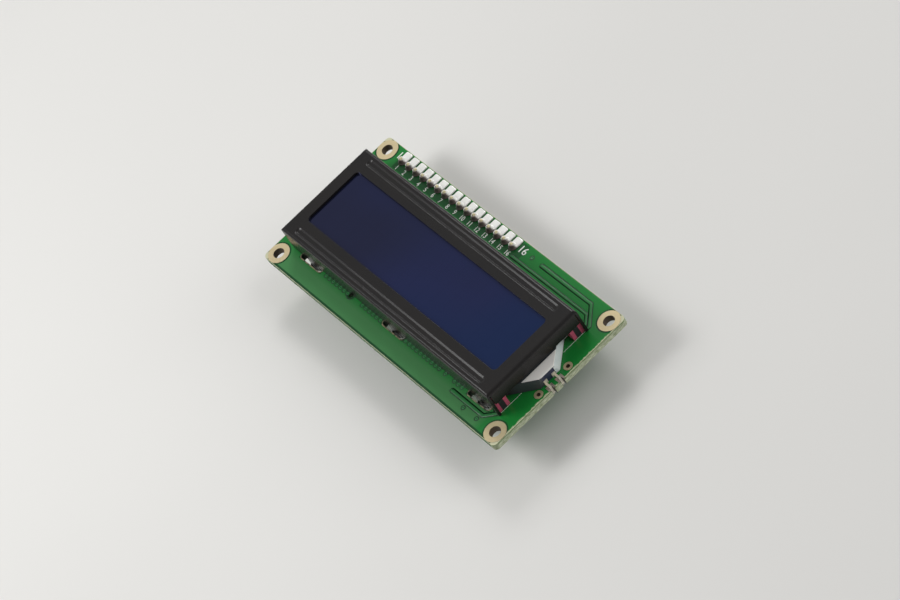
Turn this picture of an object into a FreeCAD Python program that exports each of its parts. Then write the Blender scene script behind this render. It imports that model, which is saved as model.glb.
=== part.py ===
import FreeCAD, Part
import math
import os

os.makedirs("parts", exist_ok=True)

# A two-line character display module, in millimetres.
# The origin is the middle of the four mounting holes, on the board's top face.
# X runs along the board with pin 1 at the low end, Y points to the header edge, Z out of the display.

# Circuit board
board_length = 80.0
board_depth = 36.0
board_thickness = 1.6
board_corner_radius = 1.0
copper = 0.05

# Mounting holes, each with a plated ring that almost reaches the board's edge
mounting_hole_diameter = 2.5
mounting_ring_width = 1.2
mounting_ring_to_edge = 0.05

# Header: pins, their plastic strip behind the board, and their pads
pin_count = 16
pin_pitch = 2.54
pin_size = 0.64
pin_taper = 0.16
pin_above_board = 1.35
pin_below_strip = 6.0
pin_hole_clearance = 0.05
strip_pin_clearance = 0.02
first_pin_from_hole = 5.5
strip_height = 2.5
strip_corner = 0.45
strip_side_margin = 0.93
pad_width = 2.0
pad_corner = 0.35
pad_to_edge = 0.2

# Solder on the header pads
solder_skirt = 0.24
solder_edge_round = 0.16
solder_cone_height = 1.0
solder_cone_margin = 0.08
solder_neck = 0.16

# Bezel: one folded sheet with a window, two long beads and six twisted tabs
bezel_end_margin = 4.4
bezel_header_margin = 6.4
bezel_front_margin = 5.4
bezel_sheet = 0.55
bezel_bend_radius = 0.7
bezel_rim_end = 3.3
bezel_rim_side = 4.9
window_corner_radius = 1.0
end_wall_height = 3.55
corner_slit = 0.15
bead_width = 1.65
bead_slope_width = 0.42
bead_edge_round = 0.3
bead_to_side = 1.2
bead_to_end = 3.4
tab_pitch = 29.0
tab_width = 3.6
tab_twist_angle = 38.0
tab_twist_height = 0.7
tab_end_height = 0.6
tab_slot_length = 7.2
tab_slot_inner_clearance = 0.1
tab_slot_outer_clearance = 0.65
tab_slot_rim = 0.2

# Liquid crystal cell
glass_thickness = 1.1
polarizer_thickness = 0.2
seal_thickness = 0.05
glass_clearance = 0.1
polarizer_overlap = 1.2
seal_inset = 0.4
seal_width = 1.0

# Elastomer connectors, pink outside and black in the core
zebra_width = 2.8
zebra_core_width = 1.2
zebra_end_gap = 0.05
zebra_gap = 0.15
contact_pitch = 1.4
contact_width = 0.8
contact_inset = 0.55
contact_end_margin = 1.4

# Backlight
guide_thickness = 3.45
guide_end_gap = 2.2
diffuser_thickness = 0.15
diffuser_inset = 0.1
reflector_thickness = 0.1
nose_offset = -0.15
nose_height = 2.2
nose_shoulder = 1.35
nose_flare = 0.7
nose_horn_width = 0.3
nose_film_thickness = 0.15
nose_film_under_bezel = 0.4
tape_thickness = 0.12

# Backlight lamp in the pocket at the nose's end, with two flat leads to notches in the board's edge
lamp_width = 3.2
lamp_depth = 1.4
lamp_to_edge = 2.2
lamp_pocket_clearance = 0.05
lamp_window_width = 2.4
lamp_window_height = 1.2
lamp_window_depth = 0.3
lead_width = 0.5
lead_thickness = 0.15
lead_to_lamp_side = 0.08
lead_face_width = 0.9
lead_exit_height = 1.1
lead_below_board = 0.4
lead_to_notch_end = 0.2
notch_width = 0.9
notch_depth = 1.1
notch_pad_length = 1.5
notch_pad_width = 1.7

# Spare plated holes for another lamp, a spare large ring and a plain locating hole
spare_hole_diameter = 0.9
spare_ring_width = 0.55
spare_hole_to_edge = 1.53
spare_hole_pitch = 8.0
spare_large_hole_x = 3.0
spare_large_hole_y = 6.0
locating_hole_diameter = 1.2
locating_hole_x = -15.0
locating_hole_from_wall = 0.1

# Chips under domes of black resin, on the back
dome_height = 1.5
controller_dome_diameter = 15.0
driver_dome_diameter = 13.0
controller_dome_x = -17.0
driver_dome_x = 13.0

# Small parts on the back
chip_length = 2.0
chip_width = 1.25
resistor_height = 0.5
capacitor_height = 0.8
terminal_length = 0.4
chip_pad_overhang = 0.45
chip_row_from_wall = 3.8
ladder_resistor_count = 5
ladder_resistor_pitch = 2.6
ladder_first_x = -7.0
oscillator_resistor_x = 23.5
lamp_resistor_x = 28.0
supply_capacitors_from_pin = (2.5, 6.5)

# Places and sizes worked out from the values above
hole_to_edge = mounting_hole_diameter / 2 + mounting_ring_width + mounting_ring_to_edge
hole_x = board_length / 2 - hole_to_edge
hole_y = board_depth / 2 - hole_to_edge
back = -board_thickness
display_y = (bezel_front_margin - bezel_header_margin) / 2

bezel_half_length = board_length / 2 - bezel_end_margin
bezel_half_depth = (board_depth - bezel_front_margin - bezel_header_margin) / 2
inner_half_length = bezel_half_length - bezel_sheet
inner_half_depth = bezel_half_depth - bezel_sheet
window_half_length = bezel_half_length - bezel_rim_end
window_half_depth = bezel_half_depth - bezel_rim_side

guide_bottom = reflector_thickness
guide_top = guide_bottom + guide_thickness
rear_polarizer_bottom = guide_top + diffuser_thickness
rear_glass_bottom = rear_polarizer_bottom + polarizer_thickness
seal_bottom = rear_glass_bottom + glass_thickness
front_glass_bottom = seal_bottom + seal_thickness
front_glass_top = front_glass_bottom + glass_thickness
bezel_inner_top = front_glass_top + polarizer_thickness
bezel_top = bezel_inner_top + bezel_sheet
end_wall_bottom = bezel_top - end_wall_height

front_glass_half_length = inner_half_length - glass_clearance
front_glass_half_depth = inner_half_depth - glass_clearance
zebra_outer = inner_half_depth
zebra_inner = zebra_outer - zebra_width
rear_glass_half_depth = zebra_inner - zebra_gap
guide_half_depth = zebra_inner - zebra_gap
guide_half_length = inner_half_length - guide_end_gap
zebra_half_length = inner_half_length - zebra_end_gap

tab_slot_width = bezel_sheet + tab_slot_inner_clearance + tab_slot_outer_clearance + 2 * copper
tab_slot_middle = inner_half_depth - tab_slot_inner_clearance - copper + tab_slot_width / 2

nose_y = display_y + nose_offset
nose_end = board_length / 2 - lamp_to_edge
nose_top = nose_height + nose_film_thickness
nose_root_half = guide_half_depth - nose_shoulder
nose_end_half = lamp_width / 2 + nose_horn_width
nose_taper = (nose_root_half - nose_end_half) / (nose_end - guide_half_length)
lamp_back = nose_end - lamp_depth
lead_pitch = lamp_width - 2 * lead_to_lamp_side - lead_width
lead_drop_end = board_length / 2 - notch_depth + copper + lead_to_notch_end + lead_thickness

pin_hole_radius = pin_size / math.sqrt(2) + pin_hole_clearance
pin_xs = [-hole_x + first_pin_from_hole + pin_pitch * i for i in range(pin_count)]

chip_row_y = display_y + bezel_half_depth - chip_row_from_wall


def vector(x, y, z=0.0):
    return FreeCAD.Vector(x, y, z)


def block(x0, x1, y0, y1, z0, z1):
    """A box between two corners."""
    return Part.makeBox(x1 - x0, y1 - y0, z1 - z0, vector(x0, y0, z0))


def disc(x, y, radius, z0, z1):
    return Part.makeCylinder(radius, z1 - z0, vector(x, y, z0))


def prism(points, z0, z1):
    """A straight-sided outline, pulled up from z0 to z1."""
    corners = [vector(x, y, z0) for x, y in points]
    wire = Part.makePolygon(corners + corners[:1])
    return Part.Face(wire).extrude(vector(0, 0, z1 - z0))


def oblong_wire(x, y, length, width, z):
    """An outline along X with two round ends."""
    radius = width / 2
    half = (length - width) / 2
    low_right = vector(x + half, y - radius, z)
    low_left = vector(x - half, y - radius, z)
    high_right = vector(x + half, y + radius, z)
    high_left = vector(x - half, y + radius, z)
    edges = [
        Part.LineSegment(low_left, low_right).toShape(),
        Part.Arc(low_right, vector(x + half + radius, y, z), high_right).toShape(),
        Part.LineSegment(high_right, high_left).toShape(),
        Part.Arc(high_left, vector(x - half - radius, y, z), low_left).toShape(),
    ]
    return Part.Wire(edges)


def oblong(x, y, length, width, z0, z1):
    """A plate along X with two round ends."""
    return Part.Face(oblong_wire(x, y, length, width, z0)).extrude(vector(0, 0, z1 - z0))


def dish(x, y, length, width, slope_width, z0, z1):
    """An oblong along X that widens from its floor at z0 to its rim at z1, with even slopes."""
    floor = oblong_wire(x, y, length - 2 * slope_width, width - 2 * slope_width, z0)
    return Part.makeLoft([floor, oblong_wire(x, y, length, width, z1)], True, True)


def centred_plate(half_length, half_depth, z0, z1):
    """A plate on the display's middle."""
    return block(-half_length, half_length, display_y - half_depth, display_y + half_depth, z0, z1)


def edges_at(shape, test):
    return [edge for edge in shape.Edges if test(edge)]


def is_upright(edge):
    box = edge.BoundBox
    return box.XLength < 1e-6 and box.YLength < 1e-6


def is_level_at(edge, z):
    box = edge.BoundBox
    return abs(box.ZMin - z) < 1e-6 and abs(box.ZMax - z) < 1e-6


def save(node, shapes):
    """Writes one node, a solid or a group of separate solids."""
    solids = [solid for shape in shapes for solid in shape.Solids]
    shape = solids[0] if len(solids) == 1 else Part.makeCompound(solids)
    volume = sum(solid.Volume for solid in solids)
    faults = [solid for solid in solids if not solid.isValid()]
    print(f"{node}: {len(solids)} solids, {volume:.3f} mm3, {len(faults)} faults")
    shape.exportStep(f"parts/{node}.step")


def mounting_points():
    return [(sx * hole_x, sy * hole_y) for sx in (-1, 1) for sy in (-1, 1)]


def tab_points():
    """The middle of each tab slot, with the side of the display that it is on."""
    xs = (-tab_pitch, 0.0, tab_pitch)
    return [(x, display_y + side * tab_slot_middle, side) for side in (-1, 1) for x in xs]


def spare_small_points():
    x = board_length / 2 - spare_hole_to_edge
    return [(x, display_y + side * spare_hole_pitch / 2) for side in (-1, 1)]


def spare_large_point():
    return -board_length / 2 + spare_large_hole_x, -hole_y + spare_large_hole_y


def notch_points():
    return [nose_y - lead_pitch / 2, nose_y + lead_pitch / 2]


def notch_prism(y, inset, z0, z1):
    """The space of one edge notch, made smaller all round by an inset."""
    radius = notch_width / 2 - inset
    middle_x = board_length / 2 - notch_depth + notch_width / 2
    mouth = block(middle_x, board_length / 2 + notch_width, y - radius, y + radius, z0, z1)
    return disc(middle_x, y, radius, z0, z1).fuse(mouth).removeSplitter()


def make_board():
    half_length = board_length / 2
    half_depth = board_depth / 2
    board = block(-half_length, half_length, -half_depth, half_depth, back, 0)
    board = board.makeFillet(board_corner_radius, edges_at(board, is_upright))
    mounting_drill = mounting_hole_diameter / 2 + copper
    cuts = [disc(x, y, mounting_drill, back, 0) for x, y in mounting_points()]
    cuts += [disc(x, hole_y, pin_hole_radius + copper, back, 0) for x in pin_xs]
    cuts += [oblong(x, y, tab_slot_length, tab_slot_width, back, 0) for x, y, side in tab_points()]
    cuts += [disc(x, y, spare_hole_diameter / 2 + copper, back, 0) for x, y in spare_small_points()]
    cuts.append(disc(*spare_large_point(), mounting_drill, back, 0))
    cuts += [notch_prism(y, 0, back, 0) for y in notch_points()]
    locating_y = display_y - bezel_half_depth - locating_hole_from_wall
    cuts.append(disc(locating_hole_x, locating_y, locating_hole_diameter / 2, back, 0))
    save("pcb", [board.cut(Part.makeCompound(cuts))])


def plated_ring(x, y, hole_radius, ring_width):
    """A plated hole: its barrel with a flat ring on each face of the board."""
    outer = hole_radius + copper + ring_width
    drill = hole_radius + copper
    profile = [
        (hole_radius, back - copper),
        (outer, back - copper),
        (outer, back),
        (drill, back),
        (drill, 0),
        (outer, 0),
        (outer, copper),
        (hole_radius, copper),
    ]
    corners = [vector(r, 0, z) for r, z in profile]
    face = Part.Face(Part.makePolygon(corners + corners[:1]))
    ring = face.revolve(vector(0, 0), vector(0, 0, 1), 360)
    ring.translate(vector(x, y))
    return ring


def make_plated_rings():
    ring = mounting_ring_width - copper
    radius = mounting_hole_diameter / 2
    save("mounting_hole_rings", [plated_ring(x, y, radius, ring) for x, y in mounting_points()])
    save("spare_large_ring", [plated_ring(*spare_large_point(), radius, ring)])
    spare_radius = spare_hole_diameter / 2
    spare_ring = spare_ring_width - copper
    spares = [plated_ring(x, y, spare_radius, spare_ring) for x, y in spare_small_points()]
    save("spare_lamp_rings", spares)


def make_slot_plating():
    slots = []
    for x, y, side in tab_points():
        inner = oblong(x, y, tab_slot_length - 2 * copper, tab_slot_width - 2 * copper,
                       back - copper, copper)
        barrel = oblong(x, y, tab_slot_length, tab_slot_width, back - copper, copper)
        flange_length = tab_slot_length + 2 * tab_slot_rim
        flange_width = tab_slot_width + 2 * tab_slot_rim
        top = oblong(x, y, flange_length, flange_width, 0, copper)
        bottom = oblong(x, y, flange_length, flange_width, back - copper, back)
        slots.append(barrel.fuse([top, bottom]).cut(inner).removeSplitter())
    save("tab_slot_plating", slots)


def make_notch_plating():
    edge_x = board_length / 2
    pads = []
    for y in notch_points():
        barrel = notch_prism(y, 0, back - copper, copper)
        half_width = notch_pad_width / 2
        top = block(edge_x - notch_pad_length, edge_x, y - half_width, y + half_width, 0, copper)
        bottom = block(edge_x - notch_pad_length, edge_x, y - half_width, y + half_width,
                       back - copper, back)
        beyond = block(edge_x, edge_x + 2 * notch_width, y - notch_width, y + notch_width,
                       back - copper, copper)
        pad = barrel.fuse([top, bottom]).cut(beyond)
        pads.append(pad.cut(notch_prism(y, copper, back - copper, copper)).removeSplitter())
    save("lamp_edge_pads", pads)


def header_pad_shape(x, inset, z0, z1):
    """One header pad: round at the pin, and drawn out to a square end at the board's edge."""
    radius = pad_width / 2 - inset
    high = board_depth / 2 - pad_to_edge - inset
    shank = block(x - radius, x + radius, hole_y, high, z0, z1)
    far_corners = edges_at(shank, lambda edge: is_upright(edge) and edge.BoundBox.YMin > hole_y + 1e-6)
    shank = shank.makeFillet(pad_corner, far_corners)
    return shank.fuse(disc(x, hole_y, radius, z0, z1)).removeSplitter()


def make_header_pads():
    pads = []
    for x in pin_xs:
        barrel = disc(x, hole_y, pin_hole_radius + copper, back - copper, copper)
        top = header_pad_shape(x, 0, 0, copper)
        bottom = disc(x, hole_y, pad_width / 2, back - copper, back)
        inner = disc(x, hole_y, pin_hole_radius, back - copper, copper)
        pads.append(barrel.fuse([top, bottom]).cut(inner).removeSplitter())
    save("header_pads", pads)


def pin_box(x, inset, z0, z1):
    half = pin_size / 2 - inset
    return block(x - half, x + half, hole_y - half, hole_y + half, z0, z1)


def make_header_pins():
    low = back - copper - strip_height - pin_below_strip
    high = pin_above_board
    pins = []
    for x in pin_xs:
        pin = pin_box(x, 0, low, high)
        ends = edges_at(pin, lambda edge: is_level_at(edge, low) or is_level_at(edge, high))
        pins.append(pin.makeChamfer(pin_taper, ends))
    save("header_pins", pins)


def make_header_strip():
    """The plastic strip, waisted between the pins, against the back of the board."""
    half_pitch = pin_pitch / 2
    half_depth = pin_size / 2 + strip_side_margin
    top_side = []
    for x in pin_xs:
        top_side += [
            (x - half_pitch, hole_y + half_depth - strip_corner),
            (x - half_pitch + strip_corner, hole_y + half_depth),
            (x + half_pitch - strip_corner, hole_y + half_depth),
        ]
    top_side.append((pin_xs[-1] + half_pitch, hole_y + half_depth - strip_corner))
    front_side = [(x, 2 * hole_y - y) for x, y in reversed(top_side)]
    high = back - copper
    strip = prism(top_side + front_side, high - strip_height, high)
    holes = [pin_box(x, -strip_pin_clearance, high - strip_height, high) for x in pin_xs]
    save("header_strip", [strip.cut(Part.makeCompound(holes))])


def make_header_solder():
    """Solder wets each whole pad, climbs its pin in a cone and fills the plated hole."""
    joints = []
    for x in pin_xs:
        skirt_top = copper + solder_skirt
        skirt = header_pad_shape(x, 0.02, copper, skirt_top)
        rim = edges_at(skirt, lambda edge: is_level_at(edge, skirt_top))
        skirt = skirt.makeFillet(solder_edge_round, rim)
        wide = pad_width / 2 - solder_cone_margin
        narrow = pin_size / math.sqrt(2) + solder_neck
        cone = Part.makeCone(wide, narrow, solder_cone_height, vector(x, hole_y, copper))
        fill = disc(x, hole_y, pin_hole_radius, back - copper, copper)
        pin = pin_box(x, 0, back - copper, copper + solder_cone_height)
        joints.append(skirt.fuse([cone, fill]).cut(pin).removeSplitter())
    save("header_solder", joints)


def twisted_tab(x, side):
    """A tab that goes down through its slot and is twisted behind the board to lock the bezel."""
    middle = display_y + side * (inner_half_depth + bezel_half_depth) / 2
    half_sheet = bezel_sheet / 2
    half_width = tab_width / 2
    twist_top = back - copper
    twist_bottom = twist_top - tab_twist_height
    straight = block(x - half_width, x + half_width, middle - half_sheet, middle + half_sheet,
                     twist_top, copper)

    def section(z, angle):
        corners = [
            vector(x - half_width, middle - half_sheet, z),
            vector(x + half_width, middle - half_sheet, z),
            vector(x + half_width, middle + half_sheet, z),
            vector(x - half_width, middle + half_sheet, z),
        ]
        wire = Part.makePolygon(corners + corners[:1])
        wire.rotate(vector(x, middle, z), vector(0, 0, 1), angle)
        return wire

    twisted = Part.makeLoft([section(twist_top, 0), section(twist_bottom, tab_twist_angle)],
                            True, True)
    tip_face = Part.Face(section(twist_bottom, tab_twist_angle))
    tip = tip_face.extrude(vector(0, 0, -tab_end_height))
    return straight.fuse([twisted, tip])


def make_bezel():
    shell = centred_plate(bezel_half_length, bezel_half_depth, copper, bezel_top)
    top_edges = edges_at(shell, lambda edge: is_level_at(edge, bezel_top))
    shell = shell.makeFillet(bezel_bend_radius, top_edges)
    window = centred_plate(window_half_length, window_half_depth, bezel_inner_top, bezel_top)
    window = window.makeFillet(window_corner_radius, edges_at(window, is_upright))
    cuts = [centred_plate(inner_half_length, inner_half_depth, copper, bezel_inner_top), window]
    # The end walls stop high above the board, and slits part them from the long walls.
    cuts.append(centred_plate(bezel_half_length, inner_half_depth, copper, end_wall_bottom))
    slit_top = bezel_top - bezel_bend_radius
    for side in (-1, 1):
        slit_y = display_y + side * (inner_half_depth - corner_slit / 2)
        cuts.append(block(-bezel_half_length, bezel_half_length, slit_y - corner_slit / 2,
                          slit_y + corner_slit / 2, end_wall_bottom, slit_top))
    # Each bead is pressed in until its underside rests on the glass.
    bead_length = 2 * (bezel_half_length - bead_to_end)
    bead_outer = bezel_half_depth - bead_to_side
    bead_middle = bead_outer - bead_width / 2
    bead_floor = bezel_top - polarizer_thickness
    undersides = []
    for side in (-1, 1):
        bead_y = display_y + side * bead_middle
        cuts.append(dish(0, bead_y, bead_length, bead_width, bead_slope_width, bead_floor, bezel_top))
        undersides.append(dish(0, bead_y, bead_length, bead_width, bead_slope_width,
                               front_glass_top, bezel_inner_top))
    shell = shell.cut(Part.makeCompound(cuts))

    def is_bead_rim(edge):
        from_middle = abs(edge.BoundBox.Center.y - display_y)
        return (is_level_at(edge, bezel_top)
                and bead_outer - bead_width - 1e-6 < from_middle < bead_outer + 1e-6)

    shell = shell.makeFillet(bead_edge_round, edges_at(shell, is_bead_rim))
    tabs = [twisted_tab(x, side) for x, y, side in tab_points()]
    save("bezel", [shell.fuse(undersides + tabs).removeSplitter()])


def make_cell():
    """The two glass plates with their seal, and a polarizing film on each outer face."""
    film_half_length = window_half_length + polarizer_overlap
    film_half_depth = window_half_depth + polarizer_overlap
    front_film = centred_plate(film_half_length, film_half_depth, front_glass_top, bezel_inner_top)
    save("front_polarizer", [front_film])
    front = centred_plate(front_glass_half_length, front_glass_half_depth,
                          front_glass_bottom, front_glass_top)
    save("front_glass", [front])
    outer = centred_plate(front_glass_half_length - seal_inset, rear_glass_half_depth - seal_inset,
                          seal_bottom, front_glass_bottom)
    inner_inset = seal_inset + seal_width
    inner = centred_plate(front_glass_half_length - inner_inset, rear_glass_half_depth - inner_inset,
                          seal_bottom, front_glass_bottom)
    save("cell_seal", [outer.cut(inner)])
    rear = centred_plate(front_glass_half_length, rear_glass_half_depth,
                         rear_glass_bottom, seal_bottom)
    save("rear_glass", [rear])
    rear_film = centred_plate(film_half_length, rear_glass_half_depth - seal_inset,
                              rear_polarizer_bottom, rear_glass_bottom)
    save("rear_polarizer", [rear_film])


def zebra_slab(side, near, far):
    """A full-height slab of a connector, between two distances from the display's middle."""
    low, high = sorted((display_y + side * near, display_y + side * far))
    return block(-zebra_half_length, zebra_half_length, low, high, copper, front_glass_bottom)


def make_zebra_strips():
    skin = (zebra_width - zebra_core_width) / 2
    for name, side in (("header_side", 1), ("front_side", -1)):
        core = zebra_slab(side, zebra_inner + skin, zebra_outer - skin)
        skins = [
            zebra_slab(side, zebra_inner, zebra_inner + skin),
            zebra_slab(side, zebra_outer - skin, zebra_outer),
        ]
        save(f"{name}_zebra_core", [core])
        save(f"{name}_zebra_foam", skins)


def make_contact_pads():
    """Two rows of plated contacts under the connectors' black cores."""
    count = int(2 * (zebra_half_length - contact_end_margin) / contact_pitch)
    first_x = -(count - 1) * contact_pitch / 2
    half = contact_width / 2
    near = zebra_inner + contact_inset
    far = zebra_outer - contact_inset
    pads = []
    for side in (-1, 1):
        low, high = sorted((display_y + side * near, display_y + side * far))
        for i in range(count):
            x = first_x + contact_pitch * i
            pads.append(block(x - half, x + half, low, high, 0, copper))
    save("contact_pads", pads)


def nose_slice(z0, z1, skin=0.0):
    """The nose between two heights, grown by a skin on its sides and end.

    It narrows from the light guide's end to the lamp, and its sides slope out towards the board.
    """
    far_x = nose_end + skin
    side_skin = skin * math.hypot(1, nose_taper)
    wires = []
    for z in (z0, z1):
        slope = nose_flare * (nose_top - z) / (nose_top - guide_bottom)
        root = nose_root_half + slope + side_skin
        end = nose_end_half + slope + side_skin - nose_taper * skin
        corners = [
            vector(guide_half_length, nose_y - root, z),
            vector(far_x, nose_y - end, z),
            vector(far_x, nose_y + end, z),
            vector(guide_half_length, nose_y + root, z),
        ]
        wires.append(Part.makePolygon(corners + corners[:1]))
    return Part.makeLoft(wires, True, True)


def lamp_space(clearance, z0, z1):
    half_width = lamp_width / 2 + clearance
    return block(lamp_back - clearance, nose_end, nose_y - half_width, nose_y + half_width, z0, z1)


def make_light_guide():
    body = centred_plate(guide_half_length, guide_half_depth, guide_bottom, guide_top)
    nose = nose_slice(guide_bottom, nose_height)
    nose = nose.cut(lamp_space(lamp_pocket_clearance, guide_bottom, nose_height))
    save("light_guide", [body.fuse(nose).removeSplitter()])
    # White film covers the nose outside the bezel, and dark tape shades its root.
    cover = nose_slice(nose_height, nose_top)
    film_start = bezel_half_length - nose_film_under_bezel
    outside = block(film_start, nose_end, display_y - guide_half_depth, display_y + guide_half_depth,
                    nose_height, nose_top)
    save("nose_film", [cover.common(outside)])
    save("nose_root_tape", [cover.cut(outside)])
    reflector = centred_plate(guide_half_length, guide_half_depth, 0, reflector_thickness)
    save("reflector_film", [reflector])
    diffuser = centred_plate(guide_half_length - diffuser_inset, guide_half_depth - diffuser_inset,
                             guide_top, rear_polarizer_bottom)
    save("diffuser_film", [diffuser])


def make_nose_tape():
    """Dark tape on the nose's front side, folded round its horn, keeps the light in."""
    around = nose_slice(guide_bottom, nose_top, tape_thickness)
    around = around.cut(nose_slice(guide_bottom, nose_top))
    front = block(guide_half_length, board_length / 2, display_y - inner_half_depth,
                  nose_y - lamp_width / 2, guide_bottom, nose_top)
    save("nose_tape", [around.common(front)])


def make_lamp():
    body = lamp_space(0, 0, nose_height)
    middle_z = nose_height / 2
    half_width = lamp_window_width / 2
    half_height = lamp_window_height / 2
    window = block(lamp_back, lamp_back + lamp_window_depth,
                   nose_y - half_width, nose_y + half_width,
                   middle_z - half_height, middle_z + half_height)
    save("lamp_body", [body.cut(window)])
    save("lamp_phosphor", [window])


def lamp_lead(y):
    """A flat lead: wide down the lamp's face, out along the board and down through its notch."""
    low = y - lead_width / 2
    high = y + lead_width / 2
    foot_top = copper + lead_thickness
    face_low, face_high = (low, low + lead_face_width) if y < nose_y else (high - lead_face_width, high)
    face = block(nose_end, nose_end + lead_thickness, face_low, face_high, copper, lead_exit_height)
    foot = block(nose_end, lead_drop_end, low, high, copper, foot_top)
    drop = block(lead_drop_end - lead_thickness, lead_drop_end, low, high,
                 back - lead_below_board, foot_top)
    return face.fuse([foot, drop]).removeSplitter()


def make_lamp_leads():
    """The leads, and the solder that holds each one in the inner end of its notch."""
    leads = []
    joints = []
    for y in notch_points():
        lead = lamp_lead(y)
        leads.append(lead)
        fill = notch_prism(y, copper, back - copper, copper)
        open_end = block(lead_drop_end, board_length, y - notch_width, y + notch_width,
                         back - copper, copper)
        joints.append(fill.cut([open_end, lead]))
    save("lamp_leads", leads)
    save("lamp_solder", joints)


def dome(x, diameter):
    """A low round cap of resin against the back of the board."""
    half = diameter / 2
    radius = (half ** 2 + dome_height ** 2) / (2 * dome_height)
    ball = Part.makeSphere(radius, vector(x, display_y, back + radius - dome_height))
    below = block(x - half, x + half, display_y - half, display_y + half, back - dome_height, back)
    return ball.common(below)


def make_domes():
    save("controller_dome", [dome(controller_dome_x, controller_dome_diameter)])
    save("driver_dome", [dome(driver_dome_x, driver_dome_diameter)])


def chip_parts(x, height):
    """A small two-ended part on the back: its body, end caps, solder and pads."""
    half_width = chip_width / 2
    half_length = chip_length / 2
    low = back - copper
    body_end = half_length - terminal_length
    body = block(x - half_width, x + half_width, chip_row_y - body_end, chip_row_y + body_end,
                 low - height, low)
    caps = []
    fillets = []
    pads = []
    for side in (-1, 1):
        near, far = sorted((chip_row_y + side * body_end, chip_row_y + side * half_length))
        caps.append(block(x - half_width, x + half_width, near, far, low - height, low))
        end = chip_row_y + side * half_length
        foot = end + side * chip_pad_overhang
        corners = [vector(x - half_width, end, low), vector(x - half_width, foot, low),
                   vector(x - half_width, end, low - height)]
        wedge = Part.Face(Part.makePolygon(corners + corners[:1]))
        fillets.append(wedge.extrude(vector(chip_width, 0, 0)))
        inner, outer = sorted((chip_row_y + side * body_end, foot))
        pads.append(block(x - half_width, x + half_width, inner, outer, low, back))
    return body, caps, fillets, pads


def make_small_parts():
    ladder = [ladder_first_x + ladder_resistor_pitch * i for i in range(ladder_resistor_count)]
    resistor_xs = ladder + [oscillator_resistor_x, lamp_resistor_x]
    capacitor_xs = [pin_xs[0] + offset for offset in supply_capacitors_from_pin]
    resistors = [chip_parts(x, resistor_height) for x in resistor_xs]
    capacitors = [chip_parts(x, capacitor_height) for x in capacitor_xs]
    every_chip = resistors + capacitors
    save("chip_resistors", [chip[0] for chip in resistors])
    save("chip_capacitors", [chip[0] for chip in capacitors])
    save("chip_end_caps", [cap for chip in every_chip for cap in chip[1]])
    save("chip_solder", [fillet for chip in every_chip for fillet in chip[2]])
    save("chip_pads", [pad for chip in every_chip for pad in chip[3]])


make_board()
make_plated_rings()
make_slot_plating()
make_notch_plating()
make_header_pads()
make_header_pins()
make_header_strip()
make_header_solder()
make_bezel()
make_cell()
make_zebra_strips()
make_contact_pads()
make_light_guide()
make_nose_tape()
make_lamp()
make_lamp_leads()
make_domes()
make_small_parts()
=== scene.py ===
# %% [markdown]
# # A two-line character display, dressed for the camera
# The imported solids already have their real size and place, so nothing here moves them. This notebook
# gives each one its finish, and adds what is too thin to be a solid of its own: the printed numbers,
# the copper tracks under the green mask, the small plated holes and the printed outlines.

# %% Load the fixed frame
import math

import bmesh
import bpy
from mathutils import Matrix, Vector


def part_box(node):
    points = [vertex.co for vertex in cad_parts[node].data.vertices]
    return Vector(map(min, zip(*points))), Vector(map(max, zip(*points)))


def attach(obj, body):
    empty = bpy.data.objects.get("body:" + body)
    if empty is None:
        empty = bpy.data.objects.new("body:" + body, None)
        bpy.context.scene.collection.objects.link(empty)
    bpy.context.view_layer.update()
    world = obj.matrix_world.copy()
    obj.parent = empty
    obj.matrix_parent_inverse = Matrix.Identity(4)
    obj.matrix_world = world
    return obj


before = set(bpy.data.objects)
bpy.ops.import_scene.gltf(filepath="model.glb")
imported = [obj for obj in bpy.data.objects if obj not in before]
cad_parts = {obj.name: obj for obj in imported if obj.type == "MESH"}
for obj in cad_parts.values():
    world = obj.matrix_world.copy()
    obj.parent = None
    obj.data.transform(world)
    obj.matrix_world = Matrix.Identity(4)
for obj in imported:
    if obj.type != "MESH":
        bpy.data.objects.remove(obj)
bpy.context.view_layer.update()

MM = 0.001
print("solids in the frame:", len(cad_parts))

# %% [markdown]
# ## Sizes read from the frame
# Everything added later sits on the board, beside the pins or round the resin domes. Reading those
# places from the frame, and not typing them again, keeps the tracks on the board if a size changes.


# %% Measure the board, the pins and the display
def box_mm(node):
    """The lowest and highest corner of a node, in millimetres."""
    low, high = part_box(node)
    return low / MM, high / MM


board_low, board_high = box_mm("pcb")
HALF_LENGTH = board_high.x
HALF_DEPTH = board_high.y
FRONT = board_high.z
BACK = board_low.z
BEYOND = 99

PIN_COUNT = 16
pins_low, pins_high = box_mm("header_pins")
PIN_SIZE = pins_high.y - pins_low.y
PIN_PITCH = (pins_high.x - pins_low.x - PIN_SIZE) / (PIN_COUNT - 1)
PIN_XS = [pins_low.x + PIN_SIZE / 2 + PIN_PITCH * i for i in range(PIN_COUNT)]
HEADER_Y = (pins_low.y + pins_high.y) / 2
LOWEST = pins_low.z

glass_low, glass_high = box_mm("front_glass")
DISPLAY_Y = (glass_low.y + glass_high.y) / 2
WALL_FROM_DISPLAY = 12.1
NEAR_WALL_Y = DISPLAY_Y - WALL_FROM_DISPLAY
slots_low, _ = box_mm("tab_slot_plating")
_, rings_high = box_mm("mounting_hole_rings")
RING_RADIUS = 2.45
HOLE_X = rings_high.x - RING_RADIUS
HOLE_Y = rings_high.y - RING_RADIUS
print(f"board {2 * HALF_LENGTH:.1f} x {2 * HALF_DEPTH:.1f} mm, pin pitch {PIN_PITCH:.3f} mm")

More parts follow.
